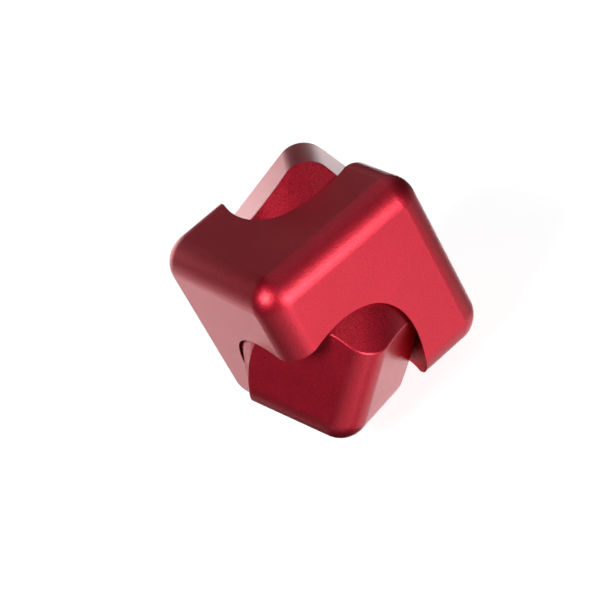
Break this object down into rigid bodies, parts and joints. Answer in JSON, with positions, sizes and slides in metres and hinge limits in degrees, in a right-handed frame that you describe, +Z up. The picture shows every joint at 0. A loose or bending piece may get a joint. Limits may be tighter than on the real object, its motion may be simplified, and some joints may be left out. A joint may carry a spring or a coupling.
{
  "type": "spinning fidget cube",
  "caption": "Rounded metal fidget cube cut round one body diagonal: a six-cornered belt spins on ball bearings between two corner caps held by finger and thumb.",
  "frame": {"origin": "the cube's centre, which is on the spin axis midway between the two corner caps", "axes": "the belt's faces are square to the axes, with the front towards -Y and +Z up; the spin axis is the body diagonal from (-, -, -) to (+, +, +)"},
  "size_m": [0.0346, 0.0346, 0.0346],
  "materials": {
    "anodised_red": "fine bead-blasted, red anodised",
    "bearing_steel": "ground",
    "ball_steel": "polished",
    "pressed_steel": "satin",
    "blackened_steel": "black oxide, satin",
    "nylon": "moulded, matte"
  },
  "bodies": {
    "belt": {"spinning_belt": "anodised_red", "lower_bearing_outer_ring": "bearing_steel", "lower_bearing_cap_side_shield": "pressed_steel", "lower_bearing_web_side_shield": "pressed_steel", "upper_bearing_outer_ring": "bearing_steel", "upper_bearing_cap_side_shield": "pressed_steel", "upper_bearing_web_side_shield": "pressed_steel"},
    "lower_cap": {"lower_corner_cap": "anodised_red", "lower_cap_shim": "bearing_steel", "lower_bearing_inner_ring": "bearing_steel", "lower_clamp_washer": "pressed_steel", "lower_cap_screw": "blackened_steel"},
    "upper_cap": {"upper_corner_cap": "anodised_red", "upper_cap_shim": "bearing_steel", "upper_bearing_inner_ring": "bearing_steel", "upper_clamp_washer": "pressed_steel", "upper_cap_screw": "blackened_steel"},
    "lower_balls": {"lower_ball_cage": "nylon", "lower_ball_1": "ball_steel", "lower_ball_2": "ball_steel", "lower_ball_3": "ball_steel", "lower_ball_4": "ball_steel", "lower_ball_5": "ball_steel", "lower_ball_6": "ball_steel", "lower_ball_7": "ball_steel", "lower_ball_8": "ball_steel"},
    "upper_balls": {"upper_ball_cage": "nylon", "upper_ball_1": "ball_steel", "upper_ball_2": "ball_steel", "upper_ball_3": "ball_steel", "upper_ball_4": "ball_steel", "upper_ball_5": "ball_steel", "upper_ball_6": "ball_steel", "upper_ball_7": "ball_steel", "upper_ball_8": "ball_steel"}
  },
  "joints": [
    {"name": "lower_cap_spin", "type": "hinge", "parent": "belt", "child": "lower_cap", "pos_m": [0, 0, 0], "axis": [0.5774, 0.5774, 0.5774], "continuous": true},
    {"name": "upper_cap_spin", "type": "hinge", "parent": "belt", "child": "upper_cap", "pos_m": [0, 0, 0], "axis": [0.5774, 0.5774, 0.5774], "continuous": true},
    {"name": "lower_balls_roll", "type": "hinge", "parent": "belt", "child": "lower_balls", "pos_m": [0, 0, 0], "axis": [0.5774, 0.5774, 0.5774], "continuous": true},
    {"name": "upper_balls_roll", "type": "hinge", "parent": "belt", "child": "upper_balls", "pos_m": [0, 0, 0], "axis": [0.5774, 0.5774, 0.5774], "continuous": true}
  ],
  "couplings": [
    {"joint": "lower_balls_roll", "follows": "lower_cap_spin", "ratio": 0.41322},
    {"joint": "upper_balls_roll", "follows": "upper_cap_spin", "ratio": 0.41322}
  ]
}
